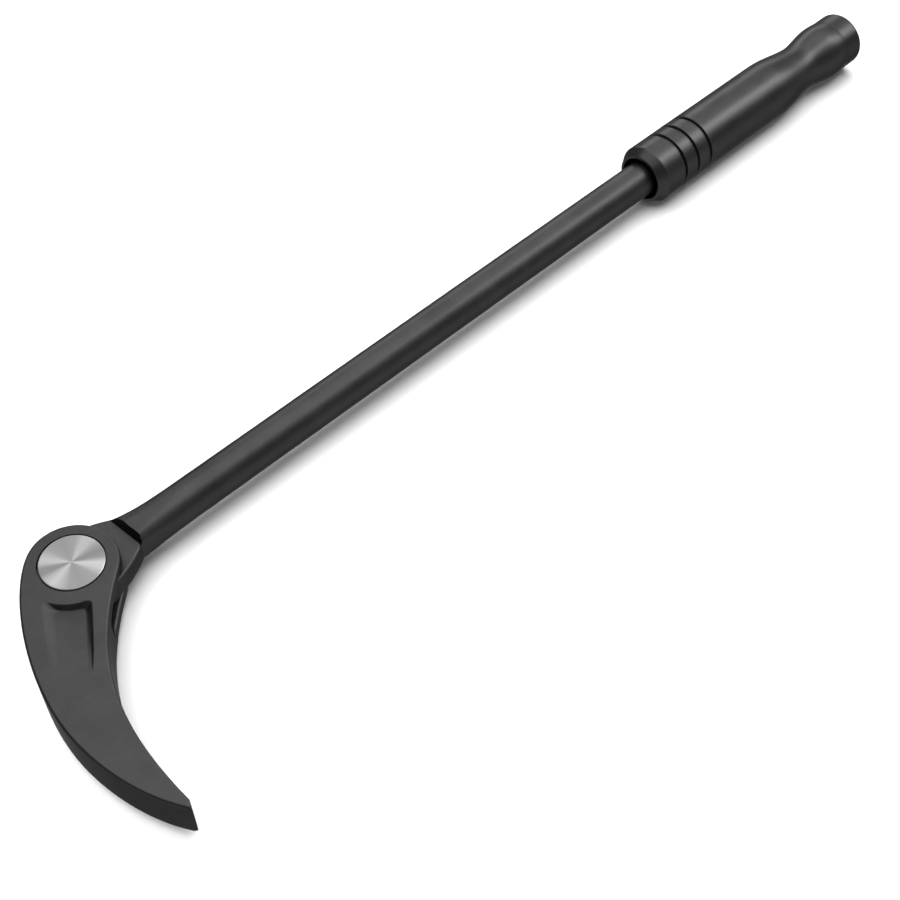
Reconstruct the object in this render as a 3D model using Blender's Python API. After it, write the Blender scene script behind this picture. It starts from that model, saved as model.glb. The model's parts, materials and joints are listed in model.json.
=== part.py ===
"""Indexing pry bar with a push-button locking head, modelled at real size.

The bar lies along +X with its pivot near the -X end, and the head turns about
a vertical axis. Lengths are in metres. Every piece is modelled about the point
where the pivot axis crosses the bar's own axis, and two empties carry the
pieces to their place above the ground.
"""

import math

import bmesh
import bpy

# ---- driving dimensions, in metres ----
SHAFT_R = 0.0057
GRIP_R = 0.0099
GRIP_FRONT = 0.2212          # front face of the grip, measured from the pivot
GRIP_END = 0.3264            # rear face of the grip, measured from the pivot

EAR_R = 0.0124               # round end of the head about the pivot
HEAD_HALF = 0.0067           # half the thickness of the head at the pivot
TIP_HALF = 0.0061            # half the thickness of the head at its tip
TAPER_START = -0.020         # where the blade starts to get thinner
HEAD_EDGE = 0.0006           # rounding along the head's edges
SLOT_HALF = 0.0032           # half the height of the slot between the ears
SLOT_R = 0.0210              # reach of the slot about the pivot
TONGUE_HALF = 0.0029         # half the thickness of the bar's flat eye
SHOULDER_X = 0.0168          # where the flat eye meets the full bar
FLARE_END = 0.0275           # where the sides of the bar's neck have closed in

BUTTON_R = 0.0088
BUTTON_TOP = 0.00685         # heights are measured from the bar's axis
BUTTON_TRAVEL = 0.0027       # how far the button and the gear go down together
GAP = 0.0003                 # running gap between neighbours

TEETH = 24
TOOTH_TIP_R = 0.0100
TOOTH_ROOT_R = 0.00905
TOOTH_HALF_TIP = 0.000375    # half a tooth's thickness at its tip
TOOTH_FLANK = 0.316          # how fast a tooth widens towards its root
TOOTH_SIDE_GAP = 0.00029

LOCK_TOP = 0.0056
LOCK_BOTTOM = -0.0017
LOCK_CUP_R = 0.0074
LOCK_CUP_ROOF = 0.0042
LIP_BOTTOM = 0.0059          # underside of the head's lip around the button

COVER_SEAT = -0.0042         # shoulder in the lower ear that carries the cover
COVER_TOP = LOCK_BOTTOM - BUTTON_TRAVEL - 0.0001
COVER_BOTTOM = -0.0052
COVER_BORE_R = 0.0111
RING_GROOVE_R = 0.0115

THREAD_R = 0.0040            # tail of the bar inside the grip
SHOULDER_END = 0.3024        # where the bar steps down to its tail
TAIL_END = 0.3185
SEAT_BORE_R = 0.0060         # bore of the grip around the bar

ROUND_STEPS = 32
CUTTER_STEPS = 40
OUTLINE_STEPS = 12           # segments along each curve of an outline
POLE = 0.0                   # radius of a profile point that lies on its axis

STEEL_BLACK = ((0.022, 0.022, 0.023), 0.42, 0.55)
STEEL_BRIGHT = ((0.62, 0.62, 0.61), 0.30, 1.0)
STEEL_DARK = ((0.12, 0.12, 0.125), 0.40, 0.9)
SPRING_STEEL = ((0.30, 0.30, 0.31), 0.35, 1.0)
ZINC = ((0.48, 0.49, 0.50), 0.38, 1.0)
NYLON = ((0.015, 0.015, 0.016), 0.60, 0.0)


# ---- plane curves of the head and of the bar's eye ----

def on_circle(radius, degrees):
    """Point on a circle about the pivot."""
    angle = math.radians(degrees)
    return (radius * math.cos(angle), radius * math.sin(angle))


def bezier(start, pull_start, pull_end, end, steps=OUTLINE_STEPS):
    """Points along a cubic curve, without its last point."""
    points = []
    for i in range(steps):
        t = i / steps
        a, b = (1 - t) ** 3, 3 * (1 - t) ** 2 * t
        c, d = 3 * (1 - t) * t * t, t ** 3
        points.append(tuple(
            a * start[k] + b * pull_start[k] + c * pull_end[k] + d * end[k]
            for k in range(2)))
    return points


def arc(radius, first, last, steps):
    """Points along an arc about the pivot, without its last point."""
    return [on_circle(radius, first + (last - first) * i / steps) for i in range(steps)]


BACK_ANGLE = 118.0           # where the round end runs into the blade's back
HOOK_ANGLE = -49.0           # where the round end runs into the hook
BELLY = (-0.0302, -0.0430)   # the point of the back that stands out furthest
TIP_OUTER = (-0.0215, -0.0756)
TIP = (-0.0207, -0.0762)     # the chisel edge
TIP_FACET = (-0.01965, -0.0739)


def head_outline():
    """Outline of the head seen from above, anticlockwise from the hook."""
    back_start = on_circle(EAR_R, BACK_ANGLE)
    hook_end = on_circle(EAR_R, HOOK_ANGLE)
    points = arc(EAR_R, HOOK_ANGLE, BACK_ANGLE, 18)
    points += bezier(back_start, (-0.0161, 0.0054), (BELLY[0], -0.0211), BELLY)
    points += bezier(BELLY, (BELLY[0], -0.0540), (-0.0275, -0.0662), TIP_OUTER)
    points += [TIP_OUTER, TIP]
    points += bezier(TIP_FACET, (-0.0202, -0.0425), (-0.0118, -0.0265), hook_end)
    return points


def eye_outline():
    """Outline of the bar's flat eye, with its neck running into the bar."""
    inner_half, neck_end, steps = 0.0050, 0.0240, 8
    upper_angle, lower_angle = 80.0, -60.0
    upper = bezier((0.0172, 0.0069), (0.0146, 0.0085), (0.0091, 0.0110),
                   on_circle(EAR_R, upper_angle), steps)
    lower = bezier((0.0172, -0.0057), (0.0149, -0.0076), (0.0092, -0.0101),
                   on_circle(EAR_R, lower_angle), steps)
    points = [(neck_end, -inner_half), (neck_end, inner_half)] + upper
    points += arc(EAR_R, upper_angle, 360 + lower_angle, 20)
    points += [on_circle(EAR_R, lower_angle)]
    points += list(reversed(lower))
    return points


OUTLINE = head_outline()
PIVOT_X = -(GRIP_END + min(x for x, y in OUTLINE)) / 2
PIVOT_Y = -(EAR_R + min(y for x, y in OUTLINE)) / 2


# ---- general tools ----

def clear_scene():
    for old in list(bpy.data.objects):
        bpy.data.objects.remove(old, do_unlink=True)


def material(name, look):
    colour, roughness, metallic = look
    made = bpy.data.materials.new(name)
    made.use_nodes = True
    shader = made.node_tree.nodes["Principled BSDF"]
    shader.inputs["Base Color"].default_value = (*colour, 1.0)
    shader.inputs["Roughness"].default_value = roughness
    shader.inputs["Metallic"].default_value = metallic
    made.diffuse_color = (*colour, 1.0)
    return made


def empty(name, location):
    made = bpy.data.objects.new(name, None)
    made.location = location
    bpy.context.scene.collection.objects.link(made)
    return made


def place(name, bm, parent, look=None, location=(0, 0, 0), turned_to_x=False):
    """Make an object from a bmesh and hang it on its parent."""
    mesh = bpy.data.meshes.new(name)
    bm.to_mesh(mesh)
    bm.free()
    mesh.shade_smooth()
    mesh.set_sharp_from_angle(angle=math.radians(35))
    made = bpy.data.objects.new(name, mesh)
    made.parent = parent
    made.location = location
    if turned_to_x:
        made.rotation_euler = (0, math.radians(90), 0)
    bpy.context.scene.collection.objects.link(made)
    if look is None:
        made.hide_render = True
        made.display_type = 'WIRE'
    else:
        mesh.materials.append(material(name + "_finish", look))
    return made


def cut(target, cutter, operation='DIFFERENCE'):
    boolean = target.modifiers.new(cutter.name, 'BOOLEAN')
    boolean.operation = operation
    boolean.solver = 'EXACT'
    boolean.object = cutter


def prism(outline, low, high):
    """Straight block with the given outline."""
    bm = bmesh.new()
    floor = bm.faces.new([bm.verts.new((x, y, low)) for x, y in outline])
    raised = bmesh.ops.extrude_face_region(bm, geom=[floor])
    tops = [v for v in raised["geom"] if isinstance(v, bmesh.types.BMVert)]
    bmesh.ops.translate(bm, verts=tops, vec=(0, 0, high - low))
    bmesh.ops.recalc_face_normals(bm, faces=bm.faces)
    return bm


def turned(profile, steps=ROUND_STEPS, closed=False):
    """Body of revolution about Z from (radius, height) points."""
    bm = bmesh.new()
    verts = [bm.verts.new((radius, 0, height)) for radius, height in profile]
    pairs = list(zip(verts, verts[1:]))
    if closed:
        pairs.append((verts[-1], verts[0]))
    edges = [bm.edges.new(pair) for pair in pairs]
    bmesh.ops.spin(bm, geom=verts + edges, cent=(0, 0, 0), axis=(0, 0, 1),
                   angle=2 * math.pi, steps=steps, use_merge=True)
    bmesh.ops.remove_doubles(bm, verts=bm.verts, dist=1e-7)
    bmesh.ops.recalc_face_normals(bm, faces=bm.faces)
    return bm


def disc(radius, low, high, steps=CUTTER_STEPS):
    """Plain round block about Z."""
    return turned([(POLE, low), (radius, low), (radius, high), (POLE, high)], steps)


def hexagon(across_flats):
    corner = across_flats / math.sqrt(3)
    return [on_circle(corner, 60 * i) for i in range(6)]


def toothed_outline(tip_r, root_r, side_gap=0.0):
    """Outline of the lock's teeth, or of a splined bore with a side gap."""
    points = []
    for tooth in range(TEETH):
        middle = 360.0 * tooth / TEETH
        for radius, side in ((root_r, -1), (tip_r, -1), (tip_r, 1), (root_r, 1)):
            half = TOOTH_HALF_TIP + TOOTH_FLANK * (TOOTH_TIP_R - radius) + side_gap
            swing = math.degrees(math.asin(half / radius))
            points.append(on_circle(radius, middle + side * swing))
    return points


SPLINE_BORE = toothed_outline(TOOTH_TIP_R + GAP, TOOTH_ROOT_R + GAP, TOOTH_SIDE_GAP)


# ---- head ----

def blade_thinning(bm):
    """Thin the blade evenly from TAPER_START to its tip."""
    whole = bm.verts[:] + bm.edges[:] + bm.faces[:]
    bmesh.ops.bisect_plane(bm, geom=whole, dist=1e-7, plane_co=(0, TAPER_START, 0),
                           plane_no=(0, 1, 0))
    slope = (HEAD_HALF - TIP_HALF) / (TAPER_START - TIP[1])
    for vert in bm.verts:
        beyond = max(0.0, TAPER_START - vert.co.y)
        half = HEAD_HALF - slope * beyond
        vert.co.z = math.copysign(half, vert.co.z)


def round_rims(bm):
    """Bevel the edges around the head's upper and lower faces."""
    rims = []
    for edge in bm.edges:
        level = [abs(face.normal.z) > 0.9 for face in edge.link_faces]
        if level.count(True) == 1:
            rims.append(edge)
    bmesh.ops.bevel(bm, geom=rims, offset=HEAD_EDGE, segments=2, profile=0.5,
                    affect='EDGES', clamp_overlap=False)


POCKET_HEADING = -123.0      # direction in which the pocket runs down the blade
POCKET_OFFSET = 0.00175      # its middle line passes the pivot at this distance
POCKET_HALF = 0.0064
POCKET_START = 0.0131        # radius of the curved wall at its deep end
POCKET_LENGTH = 0.040        # from the pivot to where its floor runs out
POCKET_DEPTH = 0.0020


def pocket_cutter(name, side, parent):
    """Wedge that sinks a pocket into one face of the blade."""
    steps = 10
    far = [(POCKET_LENGTH + 0.004, -POCKET_HALF), (POCKET_LENGTH + 0.004, POCKET_HALF)]
    near = []
    for i in range(steps + 1):
        across = POCKET_HALF - 2 * POCKET_HALF * i / steps
        along = math.sqrt(POCKET_START ** 2 - (across + POCKET_OFFSET) ** 2)
        near.append((along, across))
    bm = prism(near + far, 0.0, 0.006)
    heading = math.radians(POCKET_HEADING)
    for vert in bm.verts:
        along, across = vert.co.x, vert.co.y
        if vert.co.z < 0.003:
            rise = (along - POCKET_START) / (POCKET_LENGTH - POCKET_START)
            vert.co.z = HEAD_HALF - POCKET_DEPTH * (1 - rise)
        else:
            vert.co.z = HEAD_HALF + 0.003
        vert.co.z *= side
        sideways = -(across + POCKET_OFFSET)
        vert.co.x = along * math.cos(heading) - sideways * math.sin(heading)
        vert.co.y = along * math.sin(heading) + sideways * math.cos(heading)
    bm.normal_update()
    bmesh.ops.recalc_face_normals(bm, faces=bm.faces)
    return place(name, bm, parent)


def claw_head(pivot):
    bm = prism(OUTLINE, -HEAD_HALF, HEAD_HALF)
    blade_thinning(bm)
    round_rims(bm)
    head = place("claw_head", bm, pivot, STEEL_BLACK)
    below = -HEAD_HALF - 0.001
    cutters = [
        place("cut_slot", disc(SLOT_R, -SLOT_HALF, SLOT_HALF, 64), pivot),
        place("cut_button_bore", disc(BUTTON_R + GAP, 0.0, HEAD_HALF + 0.001), pivot),
        place("cut_head_splines", prism(SPLINE_BORE, 0.0, LIP_BOTTOM), pivot),
        place("cut_lock_bore", disc(TOOTH_TIP_R + GAP, below, 0.0), pivot),
        place("cut_cover_bore", disc(COVER_BORE_R, below, COVER_SEAT), pivot),
        place("cut_ring_groove", disc(RING_GROOVE_R, -0.0063, -0.0055), pivot),
        pocket_cutter("cut_upper_pocket", 1, pivot),
        pocket_cutter("cut_lower_pocket", -1, pivot),
    ]
    for cutter in cutters:
        cut(head, cutter)
    return head


# ---- lock inside the head ----

def lock_gear(pivot):
    teeth = prism(toothed_outline(TOOTH_TIP_R, TOOTH_ROOT_R), LOCK_BOTTOM, LOCK_TOP)
    gear = place("lock_gear", teeth, pivot, STEEL_DARK)
    cut(gear, place("cut_gear_cup", disc(LOCK_CUP_R, LOCK_BOTTOM - 0.001, LOCK_CUP_ROOF), pivot))
    cut(gear, place("cut_gear_bore", disc(0.0029, 0.0, LOCK_TOP + 0.001, 24), pivot))
    return gear


def release_button(pivot):
    """Disc with a spigot that stands in the gear and a blind hole for its screw."""
    seat, spigot_end, spigot_r = LIP_BOTTOM, 0.0046, 0.0026
    chamfer, hole_r, hole_roof = 0.00035, 0.0015, 0.0063
    profile = [(POLE, hole_roof), (hole_r, hole_roof), (hole_r, spigot_end),
               (spigot_r, spigot_end), (spigot_r, seat), (BUTTON_R, seat),
               (BUTTON_R, BUTTON_TOP - chamfer), (BUTTON_R - chamfer, BUTTON_TOP),
               (POLE, BUTTON_TOP)]
    return place("release_button", turned(profile), pivot, STEEL_BRIGHT)


def button_screw(pivot):
    head_low, head_high, head_r = 0.0026, LOCK_CUP_ROOF - GAP, 0.0034
    shank_r, shank_end, socket = 0.0012, 0.0060, 0.0022
    profile = [(POLE, head_low), (head_r, head_low), (head_r, head_high),
               (shank_r, head_high), (shank_r, shank_end), (POLE, shank_end)]
    screw = place("button_screw", turned(profile, 24), pivot, ZINC)
    key = prism(hexagon(socket), head_low - 0.001, head_low + 0.0007)
    cut(screw, place("cut_screw_socket", key, pivot))
    return screw


def return_spring(pivot):
    """Coil spring between the cover and the roof of the gear's cup."""
    coil_r, wire_r, turns, steps = 0.0054, 0.00045, 4.5, 14
    low = COVER_TOP + 0.0002 + wire_r
    high = LOCK_CUP_ROOF - 0.0002 - wire_r
    count = int(turns * steps)
    curve = bpy.data.curves.new("return_spring", 'CURVE')
    curve.dimensions = '3D'
    curve.bevel_depth = wire_r
    curve.bevel_resolution = 2
    curve.use_fill_caps = True
    spline = curve.splines.new('POLY')
    spline.points.add(count)
    for i, point in enumerate(spline.points):
        share = i / count
        x, y = on_circle(coil_r, 360 * turns * share)
        point.co = (x, y, low + (high - low) * share, 1.0)
    curve.materials.append(material("return_spring_finish", SPRING_STEEL))
    made = bpy.data.objects.new("return_spring", curve)
    made.parent = pivot
    bpy.context.scene.collection.objects.link(made)
    return made


def spring_cover(pivot):
    """Plate that closes the lower ear, with a raised step that centres the spring."""
    plate_r, step_r, step_high = COVER_BORE_R - GAP, 0.0045, -0.0035
    profile = [(POLE, COVER_BOTTOM), (plate_r, COVER_BOTTOM), (plate_r, COVER_TOP),
               (step_r, COVER_TOP), (step_r, step_high), (POLE, step_high)]
    return place("spring_cover", turned(profile), pivot, STEEL_BLACK)


def retaining_ring(pivot):
    """Open snap ring whose two ends widen into eyes for pliers."""
    outer_r, inner_r, low, high = 0.01135, 0.0102, -0.00615, -0.00565
    gap_half, eye_end, eye_depth, hole_r = 7.0, 26.0, 0.0017, 0.0006
    steps = 44
    outside, inside = [], []
    for i in range(steps + 1):
        angle = gap_half + (360 - 2 * gap_half) * i / steps
        from_end = min(angle, 360 - angle)
        widening = eye_depth if from_end < eye_end else 0.0
        outside.append(on_circle(outer_r, angle))
        inside.append(on_circle(inner_r - widening, angle))
    ring = place("retaining_ring", prism(outside + inside[::-1], low, high), pivot, SPRING_STEEL)
    for side in (-1, 1):
        x, y = on_circle(0.0099, side * (gap_half + eye_end) / 2)
        hole = place(f"cut_ring_eye_{side}", disc(hole_r, low - 0.001, high + 0.001, 12),
                     pivot, None, (x, y, 0))
        cut(ring, hole)
    return ring


# ---- bar ----

def bar_section(x, steps=32):
    """Section of the bar: boxy and flared at the shoulder, round further on."""
    fade_end, upper_flare, lower_flare = 0.034, 0.25, 0.03
    boxy = min(1.0, max(0.0, (fade_end - x) / (fade_end - SHOULDER_X)))
    flare = min(1.0, max(0.0, (FLARE_END - x) / (FLARE_END - SHOULDER_X))) ** 2
    corner_r = SHAFT_R + 0.0011 * boxy ** 1.5
    half = SHAFT_R - 0.0002 * boxy
    points = []
    for i in range(steps):
        angle = 2 * math.pi * i / steps
        across = min(half, max(-half, corner_r * math.cos(angle)))
        up = min(half, max(-half, corner_r * math.sin(angle)))
        widening = 1 + flare * (upper_flare if across > 0 else lower_flare)
        points.append((x, across * widening, up))
    return points


def lean_shoulder(bm):
    """Cut the bar's front so that it leans back above and below the eye."""
    fold, skew, upper_lean, lower_lean = 0.0026, -0.085, 0.45, 1.8
    for side, lean in ((1, upper_lean), (-1, lower_lean)):
        wall = bmesh.ops.bisect_plane(
            bm, geom=bm.verts[:] + bm.edges[:] + bm.faces[:], dist=1e-7,
            plane_co=(SHOULDER_X, 0, side * fold), plane_no=(-1, skew, side * lean),
            clear_outer=True)["geom_cut"]
        rim = [part for part in wall if isinstance(part, bmesh.types.BMEdge)]
        bmesh.ops.contextual_create(bm, geom=rim)


def bar(pivot):
    """Forged bar: flat splined eye, square shoulder, round shaft, threaded tail."""
    chamfer = 0.0006
    bm = bmesh.new()
    rings = [bar_section(x) for x in (0.0160, SHOULDER_X, 0.0205, 0.0235, 0.0265, 0.030, 0.034)]
    tail = ((SHOULDER_END - chamfer, SHAFT_R), (SHOULDER_END, SHAFT_R - chamfer),
            (SHOULDER_END, THREAD_R), (TAIL_END - chamfer, THREAD_R),
            (TAIL_END, THREAD_R - chamfer))
    for x, radius in tail:
        rings.append([(x, y * radius / SHAFT_R, z * radius / SHAFT_R)
                      for _, y, z in bar_section(SHOULDER_END)])
    loops = [[bm.verts.new(point) for point in ring] for ring in rings]
    count = len(loops[0])
    for near, far in zip(loops, loops[1:]):
        for i in range(count):
            j = (i + 1) % count
            bm.faces.new((near[i], near[j], far[j], far[i]))
    bm.faces.new(loops[0])
    bm.faces.new(loops[-1])
    lean_shoulder(bm)
    bmesh.ops.recalc_face_normals(bm, faces=bm.faces)
    shaft = place("bar", bm, pivot, STEEL_BLACK)
    eye = place("guide_eye", prism(eye_outline(), -TONGUE_HALF, TONGUE_HALF), pivot)
    cut(shaft, eye, 'UNION')
    bore = prism(SPLINE_BORE, -TONGUE_HALF - 0.001, TONGUE_HALF + 0.001)
    cut(shaft, place("cut_eye_splines", bore, pivot))
    return shaft


# ---- grip ----

def groove(x):
    """Outside points of one grip groove, front to back."""
    half, depth, slope = 0.0005, 0.0007, 0.0002
    return [(GRIP_R, x - half - slope), (GRIP_R - depth, x - half),
            (GRIP_R - depth, x + half), (GRIP_R, x + half + slope)]


GROOVES = (0.2328, 0.2389, 0.2450)
NUT_SEAT = 0.3103


def grip_sleeve(bar_axis):
    """Turned sleeve: collar, three grooves, barrel, waist and flared end."""
    outside = [(0.0078, GRIP_FRONT), (0.0082, GRIP_FRONT + 0.0002), (GRIP_R, GRIP_FRONT + 0.0030)]
    for x in GROOVES:
        outside += groove(x)
    outside += [(GRIP_R, 0.2836), (0.0097, 0.2878), (0.0093, 0.2911), (0.0087, 0.2953),
                (0.0082, 0.2990), (0.0080, 0.3022), (0.0083, 0.3055), (0.0089, 0.3088),
                (0.0093, 0.3120), (0.0095, 0.3148), (0.0094, 0.3176), (0.0092, 0.3188),
                (0.0092, GRIP_END - 0.0013), (0.0088, GRIP_END - 0.0004), (0.0082, GRIP_END)]
    nut_bore_r, recess_r, recess_end = 0.0076, 0.0072, 0.2325
    tail_bore_r, seat_end = THREAD_R + GAP, SHOULDER_END + GAP
    inside = [(nut_bore_r, GRIP_END), (nut_bore_r, NUT_SEAT), (tail_bore_r, NUT_SEAT),
              (tail_bore_r, seat_end), (SEAT_BORE_R, seat_end), (SEAT_BORE_R, recess_end),
              (recess_r, recess_end), (recess_r, GRIP_FRONT)]
    sleeve = turned(outside + inside, closed=True)
    return place("grip_sleeve", sleeve, bar_axis, STEEL_BLACK, turned_to_x=True)


def grip_bush(bar_axis):
    """Ring that centres the bar behind the recess in the grip's front face."""
    low, high, rim_r = 0.2266, 0.2322, 0.0069
    profile = [(SEAT_BORE_R, low), (rim_r, low), (rim_r, high), (SEAT_BORE_R, high)]
    ring = turned(profile, closed=True)
    return place("grip_bush", ring, bar_axis, NYLON, turned_to_x=True)


def grip_washer(bar_axis):
    low, high = NUT_SEAT + GAP, NUT_SEAT + 0.0013
    bore_r, rim_r = THREAD_R + GAP, 0.0072
    profile = [(bore_r, low), (rim_r, low), (rim_r, high), (bore_r, high)]
    ring = turned(profile, closed=True)
    return place("grip_washer", ring, bar_axis, ZINC, turned_to_x=True)


def grip_nut(bar_axis):
    low, high = NUT_SEAT + 0.0016, NUT_SEAT + 0.0056
    nut = place("grip_nut", prism(hexagon(0.0124), low, high), bar_axis, ZINC, turned_to_x=True)
    hole = disc(THREAD_R + GAP, low - 0.001, high + 0.001, 32)
    cut(nut, place("cut_nut_hole", hole, bar_axis, turned_to_x=True))
    return nut


def grip_end_plug(bar_axis):
    """Plug pressed into the rear of the grip, hollowed to clear the bar's tail."""
    low, roof, high = TAIL_END + 0.0011, TAIL_END + 0.0055, GRIP_END
    wall_r, hollow_r = 0.0073, 0.0058
    profile = [(POLE, roof), (hollow_r, roof), (hollow_r, low), (wall_r, low),
               (wall_r, high - 0.0003), (wall_r - 0.0003, high), (POLE, high)]
    return place("grip_end_plug", turned(profile), bar_axis, STEEL_BLACK, turned_to_x=True)


def main():
    clear_scene()
    pivot = empty("pivot", (PIVOT_X, PIVOT_Y, GRIP_R))
    bar_axis = empty("bar_axis", (PIVOT_X, PIVOT_Y, GRIP_R))
    claw_head(pivot)
    lock_gear(pivot)
    release_button(pivot)
    button_screw(pivot)
    return_spring(pivot)
    spring_cover(pivot)
    retaining_ring(pivot)
    bar(bar_axis)
    grip_sleeve(bar_axis)
    grip_bush(bar_axis)
    grip_washer(bar_axis)
    grip_nut(bar_axis)
    grip_end_plug(bar_axis)


main()
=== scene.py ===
"""Finished pieces of an indexing pry bar, built around its fixed frame."""

import json
import math

import bmesh
import bpy
from mathutils import Matrix, Vector


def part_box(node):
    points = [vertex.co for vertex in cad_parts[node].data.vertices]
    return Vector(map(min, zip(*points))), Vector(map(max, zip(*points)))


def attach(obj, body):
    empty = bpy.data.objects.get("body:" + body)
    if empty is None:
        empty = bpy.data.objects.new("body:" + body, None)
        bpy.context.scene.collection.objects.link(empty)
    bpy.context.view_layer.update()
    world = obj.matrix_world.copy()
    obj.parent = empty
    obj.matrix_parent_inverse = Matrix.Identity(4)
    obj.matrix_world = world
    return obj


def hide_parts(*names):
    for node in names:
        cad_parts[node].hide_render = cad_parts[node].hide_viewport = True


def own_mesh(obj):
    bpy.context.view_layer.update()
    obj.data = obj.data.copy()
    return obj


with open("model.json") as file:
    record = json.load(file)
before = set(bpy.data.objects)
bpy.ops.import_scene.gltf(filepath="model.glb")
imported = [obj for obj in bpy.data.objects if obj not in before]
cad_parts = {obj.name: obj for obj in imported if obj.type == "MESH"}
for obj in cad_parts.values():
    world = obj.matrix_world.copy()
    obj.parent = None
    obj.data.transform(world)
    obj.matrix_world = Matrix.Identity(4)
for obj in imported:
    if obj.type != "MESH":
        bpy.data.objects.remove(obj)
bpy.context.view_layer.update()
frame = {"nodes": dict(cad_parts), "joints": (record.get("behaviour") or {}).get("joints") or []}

bl_info = {
    "name": "Indexing pry bar",
    "version": (1, 0, 0),
    "blender": (4, 5, 0),
    "location": "3D View > Sidebar > Pry bar",
    "description": "Models the head, bar, grip and lock of an indexing pry bar",
    "category": "Object",
}

PIVOT = Vector(next(j["pos_m"] for j in frame["joints"] if j["name"] == "head_pivot"))
GRIP_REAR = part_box("grip_sleeve")[1].x - PIVOT.x
GRIP_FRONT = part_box("grip_sleeve")[0].x - PIVOT.x

# Lengths below are in metres. Places are measured from the pivot, on the bar's axis:
# X along the bar towards the grip, Z up towards the button.
MICRON = 0.000001
GAP = 0.0003                 # running gap between neighbours
OVERRUN = 0.001              # how far a cutter runs past the face it cuts
GRAIN = 0.00028              # size of the black coating's powder grain

# Splines of the lock
TEETH = 24
TOOTH_TIP_R = 0.0100
TOOTH_ROOT_R = 0.00905
TOOTH_HALF = 0.000375        # half width of a tooth at its tip
TOOTH_SPREAD = 0.316         # how fast that half width grows towards the root
TOOTH_SIDE_GAP = 0.00029     # clearance beside each tooth in a splined bore

# Head
BLADE_START_Y = -0.020       # where the blade starts to get thinner
BLADE_TIP_Y = -0.0762
SLOT_HALF = 0.0032           # half height of the slot between the ears
SLOT_R = 0.0210
SLOT_ROUNDING = 0.0008
BORE_ROUNDING = 0.00018      # rounding of the bores' and pockets' edges
LIP_BOTTOM = 0.0059          # underside of the lip around the button
COVER_SEAT = -0.0042
COVER_BORE_R = 0.0111
RING_GROOVE = (0.0115, -0.0063, -0.0055)     # its radius, bottom and top

# Pocket
POCKET_HEADING = math.radians(-123)
POCKET_START = 0.0129        # radius of the pocket's curved wall about the pivot
POCKET_END = 0.0375          # where its floor has risen to the blade's face
POCKET_SIDES = (-0.0087, 0.0050)
POCKET_TAPER = 0.055         # how fast the outer side closes in along the blade
POCKET_CORNER = 0.0014       # bend between the curved wall and a side wall
WALL_RUN = 0.0014            # width of the curved wall's slope
SIDE_RUNS = (0.0036, 0.0025) # widths of the side walls' slopes
POCKET_TILT = 0.45           # how much shallower the floor is at its outer side

# Bar
BURIED_X = 0.0160            # first ring of the bar, inside the eye
SHOULDER_X = 0.0168          # where the flat eye meets the full bar
NECK_END = 0.0240            # where the eye's outline ends inside the bar
FLARE_END = 0.0275           # where the sides of the bar's neck have closed in
BOXY_END = 0.034             # where the bar's squared section has faded out
NECK_RINGS = 14
UPPER_RIDGE = 0.0012         # how far the squared section's corners stand out
LOWER_RIDGE = 0.0005
FLAT_DROP = 0.0002           # how far its flats lie in
NECK_FLARE = (0.20, 0.03)    # share by which the neck widens on the +Y and -Y sides
SHOULDER_FOLD = 0.0026       # height of the line from which the shoulder leans back
SHOULDER_SKEW = -0.085       # how far the shoulder's wall is turned about Z
SHOULDER_LEANS = ((1, 0.45), (-1, 1.8))      # (side of the eye, lean)
SHOULDER_ROUNDING = 0.0003
TONGUE_HALF = 0.0029         # half thickness of the eye
STEP_X = 0.3024              # where the bar steps down to its threaded tail
TAIL_END = 0.3185
TAIL_R = 0.0040
BAR_CHAMFER = 0.0006

# Grip
GROOVES = (0.2328, 0.2389, 0.2450)
GROOVE_SLOPE = 0.0002        # how far a groove's sides lean outwards
MOUTH_R = 0.0072             # bore at the front, where the bush sits
MOUTH_END = 0.2325
CONE_R = 0.0081              # small end of the conical front
BAND_R = 0.0092
SEAT_BORE_R = 0.0060         # bore that the bar runs through
SEAT_END = 0.3027            # where it narrows to the tail
NUT_SEAT = 0.3103
REAR_BORE_R = 0.0076
PLUG_R = 0.0073
BUSH_R = 0.0069

# Lock
COVER_TOP = -0.0045
GEAR_FACE = 0.0042           # roof inside the lock gear, which the spring pushes
SPRING_GAP = 0.0002
SPRING_TURNS = 4
COIL_R = 0.0054
HUB_R = 0.0026               # hub under the button, and the hole for its screw
SCREW_HOLE_R = 0.0015
SCREW_HOLE_TOP = 0.0063
HUB_BOTTOM = 0.0046

# Stage
LIGHT_BELOW = 0.75           # brightness of the room below the horizon, and above it
LIGHT_ABOVE = 0.22
ROOM_RADIUS = 4.0
KEY_STRENGTH = 5.3
KEY_ANGLE = math.radians(80) # how wide, and so how soft, the key light is


# ---------------------------------------------------------------- sizes and colours

def length(name, description, default):
    return bpy.props.FloatProperty(
        name=name, description=description, default=default,
        min=0.0, precision=5, subtype='DISTANCE', unit='LENGTH')


def colour(name, description, default):
    return bpy.props.FloatVectorProperty(
        name=name, description=description, default=default,
        size=3, min=0.0, max=1.0, subtype='COLOR')


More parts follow.
